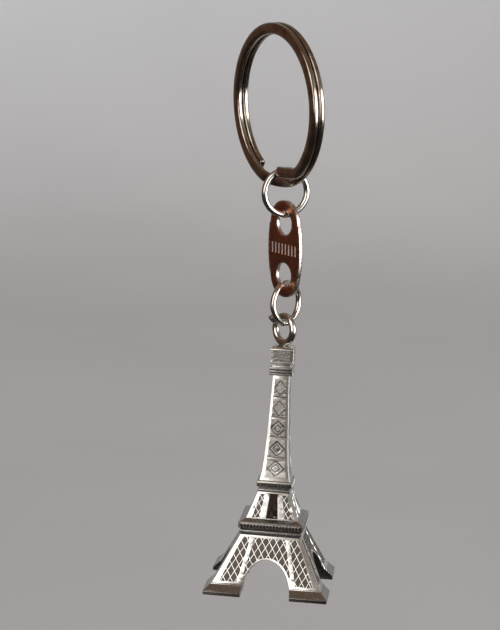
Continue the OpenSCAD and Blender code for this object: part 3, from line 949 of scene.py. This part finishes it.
class Nodes:
    def __init__(self, name):
        self.mat = bpy.data.materials.new(name)
        self.mat.use_nodes = True
        self.t = self.mat.node_tree
        self.t.nodes.clear()
        self.out = self.t.nodes.new("ShaderNodeOutputMaterial")
        self.bsdf = self.t.nodes.new("ShaderNodeBsdfPrincipled")
        self.t.links.new(self.bsdf.outputs[0], self.out.inputs[0])

    def n(self, kind, **kw):
        node = self.t.nodes.new(kind)
        for k, v in kw.items():
            if hasattr(node, k):
                setattr(node, k, v)
            else:
                node.inputs[k.replace("_", " ")].default_value = v
        return node

    def link(self, a, b):
        self.t.links.new(a, b)

    def coords(self, scale, kind="Object"):
        tc = self.n("ShaderNodeTexCoord")
        mp = self.n("ShaderNodeMapping")
        mp.inputs["Scale"].default_value = scale
        self.link(tc.outputs[kind], mp.inputs["Vector"])
        return mp.outputs[0]

    def noise(self, vec, scale, detail=4, rough=0.55, dist=0.0):
        nt = self.n("ShaderNodeTexNoise")
        nt.inputs["Scale"].default_value = scale
        nt.inputs["Detail"].default_value = detail
        nt.inputs["Roughness"].default_value = rough
        nt.inputs["Distortion"].default_value = dist
        self.link(vec, nt.inputs["Vector"])
        return nt.outputs[0]

    def ramp(self, fac, lo_, hi_, a=0.0, b=1.0):
        mr = self.n("ShaderNodeMapRange")
        mr.inputs["From Min"].default_value = lo_
        mr.inputs["From Max"].default_value = hi_
        mr.inputs["To Min"].default_value = a
        mr.inputs["To Max"].default_value = b
        self.link(fac, mr.inputs["Value"])
        return mr.outputs[0]

    def mixc(self, fac, a, b):
        mx = self.n("ShaderNodeMix", data_type="RGBA")
        self.link(fac, mx.inputs[0]) if not isinstance(fac, float) else setattr(mx.inputs[0], "default_value", fac)
        for sock, v in ((mx.inputs[6], a), (mx.inputs[7], b)):
            if isinstance(v, tuple):
                sock.default_value = (*v, 1.0)
            else:
                self.link(v, sock)
        return mx.outputs[2]

    def math(self, op, a, b=None, clamp=False):
        m = self.n("ShaderNodeMath", operation=op)
        m.use_clamp = clamp
        for i, v in enumerate((a, b)):
            if v is None:
                continue
            if isinstance(v, (int, float)):
                m.inputs[i].default_value = v
            else:
                self.link(v, m.inputs[i])
        return m.outputs[0]

    def attr(self, name):
        a = self.n("ShaderNodeAttribute")
        a.attribute_name = name
        return a.outputs["Fac"]

    def bump(self, height, dist, strength=1.0, normal=None):
        b = self.n("ShaderNodeBump")
        b.inputs["Strength"].default_value = strength
        b.inputs["Distance"].default_value = dist
        self.link(height, b.inputs["Height"])
        if normal is not None:
            self.link(normal, b.inputs["Normal"])
        return b.outputs[0]


def mat_tower():
    m = Nodes("cast_nickel")
    v = m.coords((1000, 1000, 1000))
    broad = m.noise(v, 0.45, 3)
    mid = m.noise(v, 2.2, 5, 0.6)
    fine = m.noise(v, 9.0, 4, 0.6)
    rel = m.attr("relief")
    geo = m.n("ShaderNodeNewGeometry")
    edge = m.ramp(geo.outputs["Pointiness"], 0.52, 0.6)
    # plating colour drifts a little warm; hollows hold dark patina together with painted shade, and the same mix paints
    # the dark rows of pads, decks and collar as painted shade and dark reflection
    plate = m.mixc(m.ramp(broad, 0.35, 0.65), (0.80, 0.79, 0.76), (0.74, 0.71, 0.66))
    patina_and_shade = m.mixc(m.ramp(mid, 0.4, 0.62), (0.028, 0.02, 0.015), (0.105, 0.08, 0.06))
    fac = m.math("MULTIPLY", m.ramp(rel, 0.1, 0.9), m.ramp(mid, 0.25, 0.6, 0.8, 1.0), clamp=True)
    col = m.mixc(fac, plate, patina_and_shade)
    # painted shade: the deepest hollows (relief above 1) go near black
    col = m.mixc(m.ramp(rel, 1.0, 1.12), col, (0.03, 0.02, 0.016))
    col = m.mixc(m.math("MULTIPLY", edge, 0.45), col, (0.9, 0.88, 0.84))
    m.link(col, m.bsdf.inputs["Base Color"])
    rough = m.math("ADD", m.ramp(mid, 0.3, 0.7, 0.10, 0.22), m.math("MULTIPLY", fac, 0.16))
    m.link(rough, m.bsdf.inputs["Roughness"])
    m.bsdf.inputs["Metallic"].default_value = 1.0
    b = m.bump(mid, 0.00003, 0.35)
    b = m.bump(fine, 0.000012, 0.5, b)
    m.link(b, m.bsdf.inputs["Normal"])
    return m.mat


def mat_wire(name, tint, dark, rough0, rough1, uv_scale=(1, 1, 1), lines=0.6):
    m = Nodes(name)
    v = m.coords((1000, 1000, 1000))
    uv = m.coords((20, 160, 1), "UV")
    broad = m.noise(v, 0.5, 4)
    mid = m.noise(v, 3.0, 4, 0.6)
    draw = m.noise(uv, 1.0, 5, 0.7)
    geo = m.n("ShaderNodeNewGeometry")
    pit = m.noise(v, 14.0, 3, 0.5)
    col = m.mixc(m.ramp(broad, 0.35, 0.7), tint, dark)
    spots = m.ramp(pit, 0.66, 0.74)
    col = m.mixc(m.math("MULTIPLY", spots, 0.5), col, (0.22, 0.17, 0.12))
    m.link(col, m.bsdf.inputs["Base Color"])
    m.bsdf.inputs["Metallic"].default_value = 1.0
    rough = m.math("ADD", m.ramp(mid, 0.3, 0.7, rough0, rough1), m.math("MULTIPLY", m.ramp(draw, 0.45, 0.75), 0.08))
    m.link(rough, m.bsdf.inputs["Roughness"])
    b = m.bump(draw, 0.000006, lines)
    b = m.bump(broad, 0.00006, 0.35, b)
    m.link(b, m.bsdf.inputs["Normal"])
    return m.mat


def mat_tag():
    m = Nodes("tag_plating")
    v = m.coords((1000, 1000, 1000))
    uv = m.coords((260, 12, 1), "UV")
    broad = m.noise(v, 0.35, 4)
    mid = m.noise(v, 2.0, 5, 0.6)
    brush = m.noise(uv, 1.0, 6, 0.7)
    rel = m.attr("relief")
    rim = m.attr("rim")
    col = m.mixc(m.ramp(broad, 0.35, 0.68), (0.72, 0.31, 0.19), (0.52, 0.21, 0.13))
    col = m.mixc(m.math("MULTIPLY", m.ramp(mid, 0.5, 0.75), 0.35), col, (0.2, 0.12, 0.08))
    # rim paler towards the outline and the holes: partly rubbed plating, partly a painted highlight
    rim_wear_and_highlight = m.math("MULTIPLY", m.ramp(rim, 0.3, 1.0), m.ramp(mid, 0.3, 0.6, 0.4, 1.0), clamp=True)
    col = m.mixc(rim_wear_and_highlight, col, (0.72, 0.68, 0.62))
    # painted highlight: the stamped marks are pale and less metallic so they read bright
    col = m.mixc(m.math("MULTIPLY", rel, 0.9), col, (0.9, 0.87, 0.84))
    m.link(col, m.bsdf.inputs["Base Color"])
    m.link(m.math("SUBTRACT", 1.0, m.math("MULTIPLY", rel, 0.75), clamp=True), m.bsdf.inputs["Metallic"])
    rough = m.math("ADD", m.ramp(mid, 0.3, 0.7, 0.2, 0.3), m.math("MULTIPLY", m.ramp(brush, 0.4, 0.75), 0.12))
    m.link(rough, m.bsdf.inputs["Roughness"])
    b = m.bump(brush, 0.000008, 0.5)
    b = m.bump(broad, 0.00005, 0.4, b)
    m.link(b, m.bsdf.inputs["Normal"])
    return m.mat


def assign(o, mat):
    o.data.materials.clear()
    o.data.materials.append(mat)


# ---------------------------------------------------------------------------
# put the pieces in place
# ---------------------------------------------------------------------------
ring = build_split_ring()
upper = build_upper_ring()
lower = build_lower_ring()
tag = build_tag()
tower = build_tower()

assign(ring, mat_wire("ring_spring_steel", (0.50, 0.44, 0.37), (0.27, 0.215, 0.165), 0.10, 0.2))
link_mat = mat_wire("link_wire", (0.76, 0.73, 0.68), (0.62, 0.57, 0.5), 0.12, 0.22)
assign(upper, link_mat)
assign(lower, link_mat)
assign(tag, mat_tag())
assign(tower, mat_tower())

for piece, body, node, slot in (
    (ring, "ring", "split_ring", "ring_steel"),
    (upper, "upper_link", "upper_jump_ring", "link_steel"),
    (tag, "tag", "tag_plate", "tag_metal"),
    (lower, "lower_link", "lower_jump_ring", "link_steel"),
    (tower, "tower", "tower_charm", "tower_plating"),
):
    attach(piece, body)
    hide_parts(node)

# ---------------------------------------------------------------------------
# stage: one pale seamless sweep, soft light, camera
# ---------------------------------------------------------------------------


def build_stage():
    """A round pale floor that curves up far away."""
    prof = [(0.0, 0.0), (0.6, 0.0), (1.3, 0.0)] + [(1.3 + 0.9 * S(a), 0.9 - 0.9 * C(a)) for a in range(10, 91, 10)] + [(2.2, 2.4)]
    n = 96
    V, F = [(0, 0, 0)], []
    for r, zz in prof[1:]:
        for i in range(n):
            a = 2 * math.pi * i / n
            V.append((r * math.cos(a), r * math.sin(a), zz))
    for i in range(n):
        F.append((0, 1 + i, 1 + (i + 1) % n))
    for k in range(len(prof) - 2):
        for i in range(n):
            a, b = 1 + k * n, 1 + (k + 1) * n
            F.append((a + i, b + i, b + (i + 1) % n, a + (i + 1) % n))
    me = bpy.data.meshes.new("sweep")
    me.from_pydata(V, [], F)
    for p in me.polygons:
        p.use_smooth = True
    o = bpy.data.objects.new("sweep", me)
    bpy.context.scene.collection.objects.link(o)
    o.location = (base[0] * 0.001, base[1] * 0.001, base[2] * 0.001 - 0.16)
    m = Nodes("pale_sweep")
    v = m.coords((1, 1, 1))
    f = m.noise(v, 3.0, 3)
    m.link(m.mixc(m.ramp(f, 0.3, 0.7), (0.50, 0.505, 0.52), (0.54, 0.545, 0.555)), m.bsdf.inputs["Base Color"])
    m.bsdf.inputs["Roughness"].default_value = 0.9
    o.data.materials.append(m.mat)
    o.visible_glossy = False
    o.visible_shadow = False
    o.visible_diffuse = False
    return o


build_stage()


def build_world():
    w = bpy.data.worlds.new("studio")
    bpy.context.scene.world = w
    w.use_nodes = True
    t = w.node_tree
    t.nodes.clear()
    out = t.nodes.new("ShaderNodeOutputWorld")
    bg = t.nodes.new("ShaderNodeBackground")
    t.links.new(bg.outputs[0], out.inputs[0])
    tc = t.nodes.new("ShaderNodeTexCoord")
    d = tc.outputs["Generated"]
    nrm = t.nodes.new("ShaderNodeVectorMath"); nrm.operation = "NORMALIZE"
    t.links.new(d, nrm.inputs[0])
    d = nrm.outputs[0]

    def math_(op, a, b=None, clamp=False):
        m = t.nodes.new("ShaderNodeMath"); m.operation = op; m.use_clamp = clamp
        for i, v in enumerate((a, b)):
            if v is None:
                continue
            if isinstance(v, (int, float)):
                m.inputs[i].default_value = v
            else:
                t.links.new(v, m.inputs[i])
        return m.outputs[0]

    def dot(vec):
        m = t.nodes.new("ShaderNodeVectorMath"); m.operation = "DOT_PRODUCT"
        t.links.new(d, m.inputs[0]); m.inputs[1].default_value = vec
        return m.outputs["Value"]

    def sm(x, a, b):
        m = t.nodes.new("ShaderNodeMapRange"); m.interpolation_type = "SMOOTHSTEP"
        m.inputs["From Min"].default_value = a; m.inputs["From Max"].default_value = b
        m.inputs["To Min"].default_value = 0; m.inputs["To Max"].default_value = 1
        t.links.new(x, m.inputs["Value"])
        return m.outputs[0]

    def scale_rgb(fac, rgb):
        m = t.nodes.new("ShaderNodeMix"); m.data_type = "RGBA"; m.blend_type = "MIX"
        t.links.new(fac, m.inputs[0])
        m.inputs[6].default_value = (0, 0, 0, 1); m.inputs[7].default_value = (*rgb, 1)
        return m.outputs[2]

    def add_rgb(a, b):
        m = t.nodes.new("ShaderNodeVectorMath"); m.operation = "ADD"
        t.links.new(a, m.inputs[0]); t.links.new(b, m.inputs[1])
        return m.outputs[0]

    def mix_rgb(fac, a, b):
        m = t.nodes.new("ShaderNodeMix"); m.data_type = "RGBA"
        t.links.new(fac, m.inputs[0])
        for s, v in ((m.inputs[6], a), (m.inputs[7], b)):
            if isinstance(v, tuple):
                s.default_value = (*v, 1)
            else:
                t.links.new(v, s)
        return m.outputs[2]

    def panel(az, el, half_w, half_h, soft, rgb):
        """A soft rectangular light panel, az to the right of straight ahead of the tower, el above level."""
        c = np.array([S(az) * C(el), -C(az) * C(el), S(el)])
        a = np.array([C(az), S(az), 0.0])
        b = np.cross(a, c); b = b if b[2] > 0 else -b
        dc = dot(tuple(c))
        px = math_("DIVIDE", dot(tuple(a)), math_("MAXIMUM", dc, 0.01))
        py = math_("DIVIDE", dot(tuple(b)), math_("MAXIMUM", dc, 0.01))
        ax_, ay_ = math_("ABSOLUTE", px), math_("ABSOLUTE", py)
        wx, wy = math.tan(math.radians(half_w)), math.tan(math.radians(half_h))
        mx = math_("SUBTRACT", 1.0, sm(ax_, wx * (1 - soft), wx * (1 + soft)))
        my = math_("SUBTRACT", 1.0, sm(ay_, wy * (1 - soft), wy * (1 + soft)))
        mask = math_("MULTIPLY", math_("MULTIPLY", mx, my), sm(dc, 0.0, 0.05))
        return scale_rgb(mask, rgb)

    dx, dy, dz = dot((1, 0, 0)), dot((0, 1, 0)), dot((0, 0, 1))
    # room: brown to the left and overhead, grey behind, dark below
    side = mix_rgb(sm(dx, -0.5, 0.55), (0.115, 0.062, 0.042), (0.30, 0.29, 0.28))
    room = mix_rgb(sm(dy, 0.45, 0.9), side, (0.34, 0.34, 0.34))
    room = mix_rgb(sm(dz, 0.45, 0.85), room, (0.19, 0.135, 0.10))
    room = mix_rgb(math_("MULTIPLY", sm(dz, -0.15, -0.21), math_("SUBTRACT", 1.0, sm(dy, 0.2, 0.7))), room, (0.03, 0.026, 0.024))
    col = add_rgb(room, panel(66, 4, 19, 18, 0.12, (6.0, 6.2, 6.5)))
    col = add_rgb(col, panel(-29, 20, 18, 28, 0.14, (1.9, 1.92, 1.9)))
    col = add_rgb(col, panel(-8, 22, 9, 30, 0.5, (0.56, 0.56, 0.55)))
    t.links.new(col, bg.inputs["Color"])
    bg.inputs["Strength"].default_value = 1.0


build_world()


def area(name, loc, target, size, power, color=(1, 1, 1)):
    l = bpy.data.lights.new(name, "AREA")
    l.shape = "RECTANGLE"
    l.size, l.size_y = size
    l.energy = power
    l.color = color
    o = bpy.data.objects.new(name, l)
    bpy.context.scene.collection.objects.link(o)
    o.location = loc
    o.rotation_euler = (Vector(target) - Vector(loc)).to_track_quat("-Z", "Y").to_euler()
    o.visible_glossy = False
    return o


cx, cy, cz = (base * 0.001).tolist()
area("soft_top", (cx + 0.3, cy + 0.2, cz + 1.6), (cx, cy + 0.6, cz), (1.6, 1.6), 11)


def build_camera():
    tgt = base * 0.001 + np.array([0, 0, 0.022])
    az, el, roll, dist = 4.651, 13.461, 3.042, 0.358319
    f, ox, oy = 2000.0, 26.812, 148.044
    back = np.array([S(az) * C(el), -C(az) * C(el), S(el)])
    cam = tgt + back * dist

    def basis(a2, e2):
        F = -np.array([S(a2) * C(e2), -C(a2) * C(e2), S(e2)])
        R = np.cross(F, [0, 0, 1]); R /= np.linalg.norm(R)
        return R, np.cross(R, F), F
    x0 = (ox * C(roll) + oy * S(roll)) / f
    y0 = -(-ox * S(roll) + oy * C(roll)) / f
    a2, e2, d = az, el, -back
    for _ in range(20):
        R, U, F = basis(a2, e2)
        x, y = (d @ R) / (d @ F), (d @ U) / (d @ F)
        J = np.zeros((2, 2)); hstep = 1e-3
        for k, (da, de) in enumerate(((hstep, 0), (0, hstep))):
            R2, U2, F2 = basis(a2 + da, e2 + de)
            J[:, k] = [((d @ R2) / (d @ F2) - x) / hstep, ((d @ U2) / (d @ F2) - y) / hstep]
        st = np.linalg.solve(J, [x0 - x, y0 - y])
        a2 += st[0]; e2 += st[1]
    R, U, F = basis(a2, e2)
    Rr = R * C(roll) + U * S(roll)
    Uu = -R * S(roll) + U * C(roll)
    cd = bpy.data.cameras.new("camera")
    cd.sensor_fit = "AUTO"
    cd.sensor_width = 36.0
    cd.lens = f * 36.0 / 630.0
    cd.clip_start, cd.clip_end = 0.01, 20.0
    co = bpy.data.objects.new("camera", cd)
    bpy.context.scene.collection.objects.link(co)
    M = Matrix(((Rr[0], Uu[0], -F[0], cam[0]), (Rr[1], Uu[1], -F[1], cam[1]), (Rr[2], Uu[2], -F[2], cam[2]), (0, 0, 0, 1)))
    co.matrix_world = M
    bpy.context.scene.camera = co


build_camera()
bpy.context.scene.view_settings.view_transform = "Standard"

bpy.context.view_layer.update()
